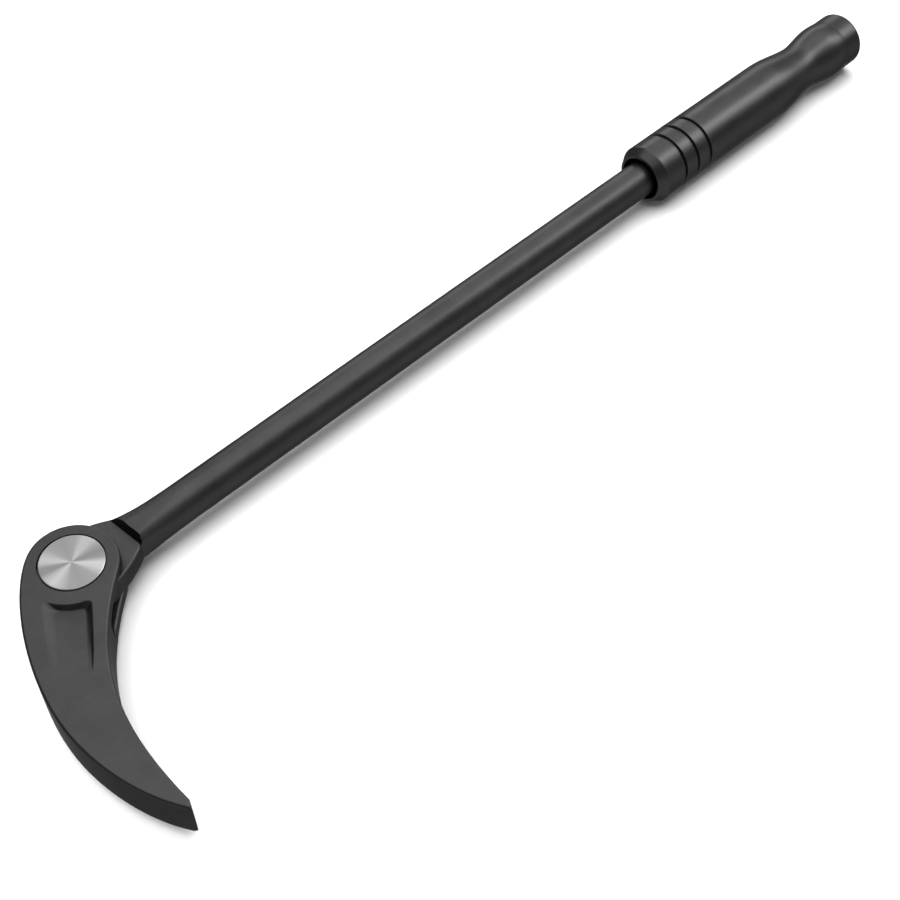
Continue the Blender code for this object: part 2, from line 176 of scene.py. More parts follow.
class PryBarSizes(bpy.types.PropertyGroup):
    """Sizes of the pieces, in metres"""

    ear_radius: length("Ear radius", "Round end of the head about the pivot", 0.0124)
    head_half: length("Head half thickness", "Half the thickness of the head", 0.0067)
    tip_half: length("Tip half thickness", "Half the thickness of the chisel tip", 0.0061)
    head_rim: length("Head rim", "Rounding along the head's edges", 0.0007)
    pocket_depth: length("Pocket depth", "Depth of the forged pocket at its curved wall", 0.0020)
    button_radius: length("Button radius", "Radius of the release button", 0.0088)
    button_top: length("Button top", "Height of the button above the bar's axis", 0.00685)
    shaft_radius: length("Bar radius", "Radius of the round bar", 0.0057)
    tongue_rim: length("Eye rim", "Rounding around the bar's flat eye", 0.0008)
    grip_radius: length("Grip radius", "Radius of the grip's barrel", 0.0099)
    groove_depth: length("Groove depth", "Depth of the three grooves in the grip", 0.0007)
    groove_width: length("Groove width", "Width of the three grooves at their floor", 0.0010)
    wire_radius: length("Spring wire radius", "Radius of the return spring's wire", 0.00045)


class PryBarColours(bpy.types.PropertyGroup):
    """Colours of the finishes"""

    black: colour("Black finish", "Satin black of the head, bar and grip", (0.050, 0.050, 0.051))
    black_worn: colour("Black finish, thin", "Where the black is thinner", (0.064, 0.064, 0.065))
    # These two tones are the light and dark ends of the button's painted reflection sectors; the
    # light one is also the steel's own tone
    steel: colour("Turned steel", "Face of the release button", (0.48, 0.48, 0.475))
    steel_painted_dark_sector: colour("Turned steel, dark", "Dark sectors of the button", (0.15, 0.15, 0.15))
    hardened: colour("Hardened steel", "Lock gear", (0.10, 0.10, 0.105))
    spring: colour("Spring steel", "Spring and retaining ring", (0.26, 0.26, 0.27))
    zinc: colour("Zinc plate", "Screw, washer and nut", (0.46, 0.47, 0.49))
    nylon: colour("Nylon", "Bush in the grip", (0.013, 0.013, 0.014))
    floor: colour("Floor", "Pale floor under the tool", (0.92, 0.92, 0.92))


# ---------------------------------------------------------------- modelling helpers

def work_on(piece):
    """Leave only this piece selected and active."""
    if bpy.context.object is not None and bpy.context.object.mode != 'OBJECT':
        bpy.ops.object.mode_set(mode='OBJECT')
    bpy.ops.object.select_all(action='DESELECT')
    piece.select_set(True)
    bpy.context.view_layer.objects.active = piece


def open_mesh(piece):
    """Go into edit mode with nothing selected."""
    work_on(piece)
    bpy.ops.object.mode_set(mode='EDIT')
    bpy.ops.mesh.select_mode(type='VERT')
    bpy.ops.mesh.select_all(action='DESELECT')


def close_mesh():
    bpy.ops.object.mode_set(mode='OBJECT')


def face_out():
    """Select everything and turn all faces outwards."""
    bpy.ops.mesh.select_all(action='SELECT')
    bpy.ops.mesh.normals_make_consistent(inside=False)


def pick(piece, kind, test):
    """Select the vertices, edges or faces that pass the test, and return how many."""
    bpy.ops.mesh.select_all(action='DESELECT')
    bpy.ops.mesh.select_mode(type=kind)
    cage = bmesh.from_edit_mesh(piece.data)
    rows = {'VERT': cage.verts, 'EDGE': cage.edges, 'FACE': cage.faces}[kind]
    found = [row for row in rows if test(row)]
    for row in found:
        row.select_set(True)
    cage.select_flush_mode()
    bmesh.update_edit_mesh(piece.data)
    return len(found)


def need(count, what):
    """Stop the script if nothing was found to work on."""
    if not count:
        raise RuntimeError(f"nothing selected for {what}")


def put_last(piece, places):
    """Move the vertices made last, in their order, to those places."""
    cage = bmesh.from_edit_mesh(piece.data)
    cage.verts.ensure_lookup_table()
    for vert, place in zip(cage.verts[len(cage.verts) - len(places):], places):
        vert.co = place
    bmesh.update_edit_mesh(piece.data)


def drawn_line(name, knots, closed=True, steps=12):
    """Line through knots, made a mesh.

    A knot is a point, or (point, handle before, handle after) where a handle
    that is None is straight.
    """
    bpy.ops.object.select_all(action='DESELECT')
    bpy.ops.curve.primitive_bezier_curve_add(location=(0, 0, 0))
    line = bpy.context.object
    line.name = name
    line.data.name = name
    line.data.resolution_u = steps
    spline = line.data.splines[0]
    spline.bezier_points.add(len(knots) - len(spline.bezier_points))
    spline.use_cyclic_u = closed
    for point, knot in zip(spline.bezier_points, knots):
        place, before, after = knot if len(knot) == 3 and hasattr(knot[0], "__len__") \
            else (knot, None, None)
        point.handle_left_type = 'FREE' if before else 'VECTOR'
        point.handle_right_type = 'FREE' if after else 'VECTOR'
        point.co = place
        if before:
            point.handle_left = before
        if after:
            point.handle_right = after
    bpy.ops.object.convert(target='MESH')
    return bpy.context.object


def slab(name, knots, low, high, steps=12):
    """Straight block with the outline that the knots draw."""
    flat = [lift(knot, low) for knot in knots]
    block = drawn_line(name, flat, steps=steps)
    open_mesh(block)
    bpy.ops.mesh.select_all(action='SELECT')
    bpy.ops.mesh.edge_face_add()
    bpy.ops.mesh.extrude_region_move(TRANSFORM_OT_translate={"value": (0, 0, high - low)})
    face_out()
    close_mesh()
    return block


def lift(knot, height):
    """A flat knot at that height."""
    if len(knot) == 3:
        return tuple(None if part is None else (part[0], part[1], height) for part in knot)
    return (knot[0], knot[1], height)


def turn(name, knots, axis, rounded=(), steps=96, line_steps=12):
    """Piece turned on a lathe about Z or X from its closed (radius, along) section.

    rounded lists (reach, places): the corners at those places are rounded over
    that reach before the section is spun.
    """
    def stand(point):
        radius, along = point
        return (radius, 0, along) if axis == 'Z' else (along, 0, radius)

    closed = not any(part_radius(knot) == 0.0 for knot in knots)
    placed = [tuple(None if part is None else stand(part) for part in knot)
              if len(knot) == 3 else stand(knot) for knot in knots]
    piece = drawn_line(name, placed, closed=closed, steps=line_steps)
    open_mesh(piece)
    for reach, places in rounded:
        corners = [Vector(stand(place)) for place in places]
        found = pick(piece, 'VERT', lambda v: any((v.co - c).length < 2 * MICRON for c in corners))
        if found != len(corners):
            raise RuntimeError(f"{name}: {found} of {len(corners)} corners found")
        bpy.ops.mesh.bevel(offset=reach, segments=4, affect='VERTICES', clamp_overlap=True)
    bpy.ops.mesh.select_all(action='SELECT')
    direction = (0, 0, 1) if axis == 'Z' else (1, 0, 0)
    bpy.ops.mesh.spin(steps=steps, angle=2 * math.pi, center=(0, 0, 0), axis=direction)
    bpy.ops.mesh.select_all(action='SELECT')
    bpy.ops.mesh.remove_doubles(threshold=MICRON)
    face_out()
    close_mesh()
    return piece


def part_radius(knot):
    return knot[0][0] if len(knot) == 3 else knot[0]


def drum(name, radius, low, high, sides=96):
    """Cutter for a round bore about Z."""
    bpy.ops.object.select_all(action='DESELECT')
    bpy.ops.mesh.primitive_cylinder_add(vertices=sides, radius=radius, depth=high - low,
                                        location=(0, 0, (low + high) / 2))
    made = bpy.context.object
    made.name = name
    bpy.ops.object.transform_apply(location=True, rotation=True, scale=True)
    return made


def carve(piece, cutter, operation='DIFFERENCE'):
    """Cut the cutter out of the piece, or join it on."""
    modifier = piece.modifiers.new("carve", 'BOOLEAN')
    modifier.operation = operation
    modifier.solver = 'EXACT'
    modifier.object = cutter
    work_on(piece)
    bpy.ops.object.modifier_apply(modifier=modifier.name)
    bpy.data.objects.remove(cutter, do_unlink=True)


def ease_edges(piece, width, degrees, segments):
    """Round every edge that turns by more than the given angle."""
    modifier = piece.modifiers.new("ease", 'BEVEL')
    modifier.width = width
    modifier.segments = segments
    modifier.limit_method = 'ANGLE'
    modifier.angle_limit = math.radians(degrees)
    modifier.use_clamp_overlap = True
    modifier.miter_outer = 'MITER_ARC'
    work_on(piece)
    bpy.ops.object.modifier_apply(modifier=modifier.name)


def on_circle(radius, degrees):
    angle = math.radians(degrees)
    return (radius * math.cos(angle), radius * math.sin(angle))


def arc_knots(radius, first, last, count):
    """Knots of an arc about the pivot. The end handles are left to the caller."""
    step = (last - first) / (count - 1)
    reach = radius * 4 / 3 * math.tan(math.radians(abs(step)) / 4)
    knots = []
    for i in range(count):
        degrees = first + step * i
        x, y = on_circle(radius, degrees)
        side = math.copysign(1, step)
        dx, dy = -math.sin(math.radians(degrees)) * side, math.cos(math.radians(degrees)) * side
        knots.append(((x, y), (x - dx * reach, y - dy * reach), (x + dx * reach, y + dy * reach)))
    return knots


def settle(piece, name, body, finish, nodes=(), angle=30, weighted=True):
    """Shade the piece, bring it to its place, give it its finish and let it ride."""
    work_on(piece)
    piece.name = name
    piece.data.name = name
    bpy.ops.object.shade_smooth_by_angle(angle=math.radians(angle))
    if weighted:
        modifier = piece.modifiers.new("weighted", 'WEIGHTED_NORMAL')
        modifier.keep_sharp = True
        modifier.mode = 'FACE_AREA'
        modifier.weight = 50
        bpy.ops.object.modifier_apply(modifier=modifier.name)
    piece.location = PIVOT
    bpy.ops.object.transform_apply(location=True, rotation=True, scale=True)
    piece.data.materials.clear()
    piece.data.materials.append(finish)
    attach(piece, body)
    if nodes:
        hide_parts(*nodes)
    return piece


# ---------------------------------------------------------------- finishes

class Value:
    """A number socket that takes part in Python expressions."""

    def __init__(self, finish, socket):
        self.finish = finish
        self.socket = socket

    def maths(self, operation, first, second):
        node = self.finish.node('ShaderNodeMath', {"operation": operation},
                                {0: first, 1: second})
        return Value(self.finish, node.outputs[0])

    def __add__(self, other):
        return self.maths('ADD', self, other)

    def __radd__(self, other):
        return self.maths('ADD', other, self)

    def __sub__(self, other):
        return self.maths('SUBTRACT', self, other)

    def __rsub__(self, other):
        return self.maths('SUBTRACT', other, self)

    def __mul__(self, other):
        return self.maths('MULTIPLY', self, other)

    def __rmul__(self, other):
        return self.maths('MULTIPLY', other, self)

    def within(self, low, high):
        """0 below low, 1 above high, and an even slope between them."""
        node = self.finish.node('ShaderNodeMapRange', {"clamp": True},
                                {"Value": self, "From Min": low, "From Max": high})
        return Value(self.finish, node.outputs["Result"])


class Finish:
    """A material and the nodes that make it."""

    def __init__(self, name, **constants):
        self.material = bpy.data.materials.new(name)
        self.material.use_nodes = True
        self.tree = self.material.node_tree
        self.shader = self.tree.nodes["Principled BSDF"]
        for socket, value in constants.items():
            self.shader.inputs[socket.replace("_", " ")].default_value = value
        self.place = self.node('ShaderNodeTexCoord').outputs["Object"]

    def node(self, kind, settings=None, inputs=None):
        """Add a node: its settings first, then the values or links of its sockets."""
        made = self.tree.nodes.new(kind)
        for key, value in (settings or {}).items():
            if key == "stops":
                self.set_stops(made, value)
            else:
                setattr(made, key, value)
        for key, value in (inputs or {}).items():
            socket = made.inputs[key]
            if isinstance(value, Value):
                self.tree.links.new(value.socket, socket)
            elif isinstance(value, bpy.types.NodeSocket):
                self.tree.links.new(value, socket)
            else:
                socket.default_value = value
        return made

    def set_stops(self, ramp, stops):
        """Give a colour ramp its (position, grey) stops."""
        elements = ramp.color_ramp.elements
        while len(elements) < len(stops):
            elements.new(0.5)
        for element, (position, grey) in zip(elements, stops):
            element.position = position
            element.color = (grey, grey, grey, 1.0)

    def centred(self):
        """Object position measured from the point on the bar's axis at the pivot."""
        moved = self.node('ShaderNodeMapping', {"vector_type": 'POINT'},
                          {"Vector": self.place, "Location": -PIVOT})
        return moved.outputs[0]

    def noise(self, size, detail=3.0, roughness=0.55, vector=None):
        """Noise from 0 to 1 with features about that many metres across."""
        node = self.node('ShaderNodeTexNoise', {},
                         {"Vector": self.place if vector is None else vector,
                          "Scale": 1.0 / size, "Detail": detail, "Roughness": roughness})
        return Value(self, node.outputs["Fac"])

    def blend_colours(self, share, first, second):
        node = self.node('ShaderNodeMix', {"data_type": 'RGBA'},
                         {"Factor": share, 6: (*first, 1.0), 7: (*second, 1.0)})
        return node.outputs[2]

    def bump(self, height, strength, distance):
        node = self.node('ShaderNodeBump', {},
                         {"Height": height, "Strength": strength, "Distance": distance})
        self.tree.links.new(node.outputs[0], self.shader.inputs["Normal"])

    def feed(self, socket, source):
        if isinstance(source, Value):
            source = source.socket
        self.tree.links.new(source, self.shader.inputs[socket])


def scaled(tone, share):
    return tuple(part * share for part in tone)


def black_finish(name, thick, thin, rough, grain):
    """Satin black coating: fine powder texture, faint mottling and smoother patches."""
    finish = Finish(name, Metallic=1.0, Specular_Tint=(0.4, 0.4, 0.4, 1.0))
    mottle = finish.noise(0.009, 3.0)
    speck = finish.noise(0.0011, 2.0)
    powder = finish.noise(grain, 2.0, 0.6)
    share = (mottle * 0.7 + speck * 0.3).within(0.35, 0.7)
    finish.feed("Base Color", finish.blend_colours(share, thick, thin))
    finish.feed("Roughness", rough + (mottle - 0.5) * 0.10 + (speck - 0.5) * 0.08)
    finish.bump(powder, 0.20, 0.00004)
    return finish.material


# Painted reflection on the button: light and dark sectors painted into its colour where turned
# steel would catch and miss the lamps: (share of a turn from -X, brightness)
BUTTON_PAINTED_REFLECTIONS = (
    (0.0, 0.60), (0.045, 0.88), (0.09, 0.62), (0.14, 0.28), (0.21, 0.22), (0.29, 0.30),
    (0.335, 0.80), (0.375, 0.95), (0.415, 0.18), (0.46, 0.06), (0.50, 0.28), (0.545, 0.66),
    (0.59, 0.68), (0.63, 0.30), (0.71, 0.22), (0.79, 0.34), (0.855, 0.80), (0.885, 0.74),
    (0.92, 0.14), (0.96, 0.12), (1.0, 0.60))


def turned_face_painted_reflections(name, bright, dark):
    """Face turned on a lathe: fine turning rings, and soft light and dark sectors of painted
    reflection in its colour.
    """
    finish = Finish(name, Metallic=1.0)
    place = finish.centred()
    parts = finish.node('ShaderNodeSeparateXYZ', {}, {"Vector": place})
    x, y = Value(finish, parts.outputs[0]), Value(finish, parts.outputs[1])
    angle = x.maths('ARCTAN2', y, x)
    flat = finish.node('ShaderNodeCombineXYZ', {}, {0: x, 1: y, 2: 0.0})
    reach = Value(finish, finish.node('ShaderNodeVectorMath', {"operation": 'LENGTH'},
                                      {0: flat.outputs[0]}).outputs["Value"])
    turned_by = (angle + math.pi) * (0.5 / math.pi)
    # painted reflection: light and dark sectors by the angle about the button's axis
    ramp = finish.node('ShaderNodeValToRGB', {"stops": BUTTON_PAINTED_REFLECTIONS}, {0: turned_by})
    painted_reflection_sectors = Value(finish, ramp.outputs["Color"])
    rings_at = finish.node('ShaderNodeCombineXYZ', {}, {0: reach * 9000.0, 1: 0.0, 2: 0.0})
    rings = finish.noise(1.0, 2.0, 0.6, rings_at.outputs[0])
    # colour mixes the painted reflection sectors with the real turning rings
    share = (painted_reflection_sectors * 0.85 + rings * 0.3 - 0.1).within(0.0, 1.0)
    finish.feed("Base Color", finish.blend_colours(share, dark, bright))
    finish.feed("Roughness", 0.30 + rings * 0.14)
    finish.bump(rings, 0.25, 0.00002)
    return finish.material


def metal_finish(name, tone, tone_dark, rough, lay):
    """Plain metal: fine marks of that size, a little oil film and uneven gloss."""
    finish = Finish(name, Metallic=1.0)
    film = finish.noise(0.004, 3.0)
    marks = finish.noise(lay, 2.0)
    finish.feed("Base Color", finish.blend_colours((film * 0.6 + marks * 0.4).within(0.3, 0.7),
                                                   tone_dark, tone))
    finish.feed("Roughness", rough + (film - 0.5) * 0.16 + (marks - 0.5) * 0.10)
    finish.bump(marks, 0.15, 0.00003)
    return finish.material


def nylon_finish(name, tone):
    """Moulded nylon with a faint grain."""
    finish = Finish(name, IOR=1.53)
    grain = finish.noise(0.0004, 2.0)
    cloud = finish.noise(0.003, 2.0)
    finish.feed("Base Color", finish.blend_colours(cloud.within(0.3, 0.7), tone,
                                                   scaled(tone, 1.7)))
    finish.feed("Roughness", 0.55 + grain * 0.12)
    finish.bump(grain, 0.2, 0.00003)
    return finish.material


# ---------------------------------------------------------------- head

def head_knots(sizes):
    """Crescent outline of the head, anticlockwise from where the hook begins."""
    back = on_circle(sizes.ear_radius, 118)
    ear = arc_knots(sizes.ear_radius, -49, 118, 4)
    hook_start, hook_end = ear[0], ear[-1]
    belly = ((-0.0302, -0.0430), (-0.0302, -0.0211), (-0.0302, -0.0540))
    tip_outer = ((-0.0215, -0.0756), (-0.0275, -0.0662), None)
    tip = ((-0.0207, -0.0762), None, None)
    facet = ((-0.01965, -0.0739), None, (-0.0202, -0.0425))
    first = (hook_start[0], (-0.0118, -0.0265), hook_start[2])
    last = (back, hook_end[1], (-0.0161, 0.0054))
    return [first, *ear[1:-1], last, belly, tip_outer, tip, facet]


def toothed_knots(tip_r, root_r, side_gap):
    """Outline of the splined bore in the ear."""
    points = []
    for tooth in range(TEETH):
        middle = 360.0 * tooth / TEETH
        for radius, side in ((root_r, -1), (tip_r, -1), (tip_r, 1), (root_r, 1)):
            half = TOOTH_HALF + TOOTH_SPREAD * (TOOTH_TIP_R - radius) + side_gap
            turned = side * math.degrees(math.asin(half / radius))
            points.append(on_circle(radius, middle + turned))
    return points


def splined_bore(low, high):
    knots = toothed_knots(TOOTH_TIP_R + GAP, TOOTH_ROOT_R + GAP, TOOTH_SIDE_GAP)
    return slab("splines", knots, low, high)


def pocket_outline(share):
    """Outline of the pocket in (along, side) at that share of the way down its walls."""
    wall_r = POCKET_START + WALL_RUN * share
    left, right = (POCKET_SIDES[0] + SIDE_RUNS[0] * share,
                   POCKET_SIDES[1] - SIDE_RUNS[1] * share)
    corner, far = POCKET_CORNER, POCKET_END + 0.006
    far_left = left + POCKET_TAPER * (far - wall_r)

    def wall_at(side):
        return (math.sqrt(wall_r ** 2 - side ** 2), side)

    def rounded_corner(side, inward):
        """Quarter bend from the side wall to the curved wall."""
        end = wall_at(side + inward * corner)
        start = (end[0] + corner, side)
        middle = (end[0], side)
        steps = [i / 6 for i in range(7)]
        return [tuple((1 - t) ** 2 * start[k] + 2 * t * (1 - t) * middle[k] + t * t * end[k]
                      for k in range(2)) for t in steps]

    first, last, steps = right - corner, left + corner, 14
    curve = [wall_at(first + (last - first) * i / steps) for i in range(1, steps)]
    return [(far, far_left), (far, right), *rounded_corner(right, -1), *curve,
            *reversed(rounded_corner(left, 1))]


def pocket_cutter(sizes, side):
    """Block with sloping, rounded walls and a floor that rises to meet the blade's face."""
    rings, above, face = 10, 0.00006, sizes.head_half

    def ring(i):
        share = i / rings
        down = (1 - math.cos(math.pi * share)) / 2
        places = []
        for along, across in pocket_outline(share):
            run = (along - POCKET_START) / (POCKET_END - POCKET_START)
            tilt = POCKET_TILT * (POCKET_SIDES[1] - across) / (POCKET_SIDES[1] - POCKET_SIDES[0])
            depth = above + sizes.pocket_depth * (1 - run) * (1 - tilt)
            places.append(in_blade(along, across, side * (face + above - depth * down)))
        return places

    block = slab("pocket", [place[:2] for place in ring(0)], side * 0.010, side * (face + above))
    open_mesh(block)
    need(pick(block, 'FACE', lambda f: all(abs(v.co.z) < face + 2 * above for v in f.verts)),
         "pocket face")
    for i in range(1, rings + 1):
        start, places = ring(i - 1), ring(i)
        bpy.ops.mesh.extrude_region_move(TRANSFORM_OT_translate={"value": (0, 0, 0)})
        cage = bmesh.from_edit_mesh(block.data)
        for vert in cage.verts:
            if vert.select:
                nearest = min(range(len(start)), key=lambda k: (Vector(start[k]) - vert.co).length)
                vert.co = places[nearest]
        bmesh.update_edit_mesh(block.data)
    face_out()
    close_mesh()
    return block


def in_blade(along, across, height):
    """Place of a pocket point about the pivot."""
    cosine, sine = math.cos(POCKET_HEADING), math.sin(POCKET_HEADING)
    return (along * cosine - across * sine, along * sine + across * cosine, height)


class PRYBAR_OT_head(bpy.types.Operator):
    """Model the crescent head with its two ears, pockets and splined bores"""

    bl_idname = "prybar.head"
    bl_label = "Head"

    def execute(self, context):
        sizes, colours = context.scene.prybar_sizes, context.scene.prybar_colours
        half = sizes.head_half
        head = slab("head", head_knots(sizes), -half, half, steps=24)
        self.thin_blade(head, sizes)
        open_mesh(head)
        need(pick(head, 'EDGE', is_rim), "head rims")
        bpy.ops.mesh.bevel(offset=sizes.head_rim, segments=5, affect='EDGES', clamp_overlap=True)
        close_mesh()
        carve(head, drum("slot", SLOT_R, -SLOT_HALF, SLOT_HALF, 128))
        self.round_slot(head, sizes)
        carve(head, drum("button_bore", sizes.button_radius + GAP, 0.0, half + OVERRUN))
        carve(head, drum("cover_bore", COVER_BORE_R, -half - OVERRUN, COVER_SEAT))
        for side in (1, -1):
            carve(head, pocket_cutter(sizes, side))
        ease_edges(head, BORE_ROUNDING, 42, 2)
        carve(head, splined_bore(SLOT_HALF - OVERRUN, LIP_BOTTOM))
        carve(head, drum("lock_bore", TOOTH_TIP_R + GAP, COVER_SEAT - OVERRUN,
                         -SLOT_HALF + OVERRUN))
        carve(head, drum("ring_groove", *RING_GROOVE))
        finish = black_finish("satin_black_head", colours.black, colours.black_worn, 0.42, GRAIN)
        settle(head, "forged_head", "head", finish, ("claw_head",))
        return {'FINISHED'}

    def round_slot(self, head, sizes):
        """Round the slot's long edges where they come out on the head's inner side."""
        def on_slot_edge(edge):
            level = all(abs(abs(v.co.z) - SLOT_HALF) < MICRON for v in edge.verts)
            nearest, furthest = sizes.ear_radius - 0.0005, SLOT_R - 0.0002
            between = all(nearest < v.co.xy.length < furthest for v in edge.verts)
            return level and between and len(edge.link_faces) == 2

        open_mesh(head)
        need(pick(head, 'EDGE', on_slot_edge), "slot edges")
        bpy.ops.mesh.bevel(offset=SLOT_ROUNDING, segments=4, affect='EDGES',
                           clamp_overlap=False)
        close_mesh()

    def thin_blade(self, head, sizes):
        """Tilt the blade's two faces so that it gets thinner towards its tip."""
        start = BLADE_START_Y
        open_mesh(head)
        bpy.ops.mesh.select_all(action='SELECT')
        bpy.ops.mesh.bisect(plane_co=(0, start, 0), plane_no=(0, 1, 0))
        slope = (sizes.head_half - sizes.tip_half) / (start - BLADE_TIP_Y)
        for side in (1, -1):
            need(pick(head, 'VERT', lambda v: v.co.z * side > 0 and v.co.y < start - MICRON),
                 "blade")
            cage = bmesh.from_edit_mesh(head.data)
            for vert in cage.verts:
                if vert.select:
                    vert.co.z -= side * slope * (start - vert.co.y)
            bmesh.update_edit_mesh(head.data)
        close_mesh()


def is_rim(edge):
    """True for an edge between a flat upper or lower face and the side."""
    level = [abs(face.normal.z) > 0.9 for face in edge.link_faces]
    return level.count(True) == 1


# ---------------------------------------------------------------- bar

def bar_section(sizes, x):
    """Section of the bar: four flats that fade into a round as x grows."""
    boxy = min(1.0, max(0.0, (BOXY_END - x) / (BOXY_END - SHOULDER_X)))
    upper_r = sizes.shaft_radius + UPPER_RIDGE * boxy ** 1.5
    lower_r = sizes.shaft_radius + LOWER_RIDGE * boxy ** 1.5
    half = sizes.shaft_radius - FLAT_DROP * boxy
    flare = min(1.0, max(0.0, (FLARE_END - x) / (FLARE_END - SHOULDER_X))) ** 2
    ridge = max(math.radians(9), math.acos(min(1.0, half / upper_r)))
    flat_steps, corner_steps = 6, 12
    points = []
    for quarter in range(4):
        turn_by = quarter * math.pi / 2
        angles = [-ridge + 2 * ridge * i / flat_steps for i in range(flat_steps)]
        angles += [ridge + (math.pi / 2 - 2 * ridge) * i / corner_steps
                   for i in range(corner_steps)]
        for angle in angles:
            near_top = math.sin(turn_by + angle) >= 0 and math.cos(turn_by + angle) <= 0
            corner_r = upper_r if near_top else lower_r
            out = min(half, corner_r * math.cos(angle))
            side = min(half, corner_r * math.sin(angle))
            across = out * math.cos(turn_by) - side * math.sin(turn_by)
            widening = 1 + flare * NECK_FLARE[0 if across > 0 else 1]
            points.append(Vector((x, across * widening,
                                  out * math.sin(turn_by) + side * math.cos(turn_by))))
    return points


def eye_knots(sizes):
    """Outline of the flat eye with its neck running into the bar."""
    inner_half = 0.0050
    arc = arc_knots(sizes.ear_radius, 80, 300, 5)
    upper, lower = arc[0], arc[-1]
    return [
        ((NECK_END, -inner_half), None, None),
        ((NECK_END, inner_half), None, None),
        ((0.0172, 0.0069), None, (0.0146, 0.0085)),
        (upper[0], (0.0091, 0.0110), upper[2]),
        *arc[1:-1],
        (lower[0], lower[1], (0.0092, -0.0101)),
        ((0.0172, -0.0057), (0.0149, -0.0076), None),
    ]


class PRYBAR_OT_bar(bpy.types.Operator):
    """Model the forged bar with its flat splined eye, square shoulder and tail"""

    bl_idname = "prybar.bar"
    bl_label = "Bar"

    def execute(self, context):
        sizes, colours = context.scene.prybar_sizes, context.scene.prybar_colours
        bar = self.shaft(sizes)
        eye = slab("eye", eye_knots(sizes), -TONGUE_HALF, TONGUE_HALF, steps=16)
        open_mesh(eye)
        for side, reach in ((1, sizes.tongue_rim), (-1, sizes.tongue_rim / 2)):
            need(pick(eye, 'EDGE', lambda e: is_rim(e) and e.verts[0].co.z * side > 0), "eye rims")
            bpy.ops.mesh.bevel(offset=reach, segments=4, affect='EDGES', clamp_overlap=True)
        close_mesh()
        carve(bar, eye, 'UNION')
        carve(bar, splined_bore(-TONGUE_HALF - OVERRUN, TONGUE_HALF + OVERRUN))
        finish = black_finish("satin_black_bar", colours.black, colours.black_worn, 0.42, GRAIN)
        settle(bar, "forged_bar", "bar", finish, ("bar",), angle=50)
        return {'FINISHED'}

    def shaft(self, sizes):
        """Bar from its shoulder to its tail, extruded ring by ring."""
        neck = [SHOULDER_X + (BOXY_END - SHOULDER_X) * i / NECK_RINGS
                for i in range(NECK_RINGS + 1)]
        stations = [BURIED_X, *neck]
        full = sizes.shaft_radius
        tail = [(STEP_X - BAR_CHAMFER, full), (STEP_X, full - BAR_CHAMFER), (STEP_X, TAIL_R),
                (TAIL_END - BAR_CHAMFER, TAIL_R), (TAIL_END, TAIL_R - BAR_CHAMFER)]
        rings = [bar_section(sizes, x) for x in stations]
        for x, radius in tail:
            share = radius / full
            rings.append([Vector((x, p.y * share, p.z * share)) for p in bar_section(sizes, x)])
        bpy.ops.object.select_all(action='DESELECT')
        bpy.ops.mesh.primitive_circle_add(vertices=len(rings[0]), radius=full,
                                          location=(0, 0, 0))
        bar = bpy.context.object
        open_mesh(bar)
        bpy.ops.mesh.select_all(action='SELECT')
        put_last(bar, rings[0])
        for ring in rings[1:]:
            bpy.ops.mesh.extrude_region_move(TRANSFORM_OT_translate={"value": (0.001, 0, 0)})
            put_last(bar, ring)
        bpy.ops.mesh.edge_face_add()
        need(pick(bar, 'EDGE', lambda e: e.is_boundary), "open end of the bar")
        bpy.ops.mesh.edge_face_add()
        face_out()
        self.lean_shoulder()
        need(pick(bar, 'EDGE', on_shoulder_rim), "shoulder edge")
        bpy.ops.mesh.bevel(offset=SHOULDER_ROUNDING, segments=4, affect='EDGES',
                           clamp_overlap=True)
        close_mesh()
        return bar

    def lean_shoulder(self):
        """Cut the shoulder back above and below the eye."""
        for side, lean in SHOULDER_LEANS:
            bpy.ops.mesh.select_all(action='SELECT')
            bpy.ops.mesh.bisect(plane_co=(SHOULDER_X, 0, side * SHOULDER_FOLD),
                                plane_no=(-1, SHOULDER_SKEW, side * lean), use_fill=True,
                                clear_outer=True)


def on_shoulder_rim(edge):
    """True where a leaning shoulder wall meets the bar's outside."""
    leaning = [face.normal.x < -0.3 and abs(face.normal.z) > 0.2 for face in edge.link_faces]
    above_fold = SHOULDER_FOLD + 0.00005
    return leaning.count(True) == 1 and all(abs(v.co.z) > above_fold for v in edge.verts)


# ---------------------------------------------------------------- grip

def grip_groove(sizes, x):
    """Corners of one groove, front to back, as (radius, along)."""
    half, outer = sizes.groove_width / 2, sizes.grip_radius
    lip, floor = half + GROOVE_SLOPE, outer - sizes.groove_depth
    return [(outer, x - lip), (floor, x - half), (floor, x + half), (outer, x + lip)]


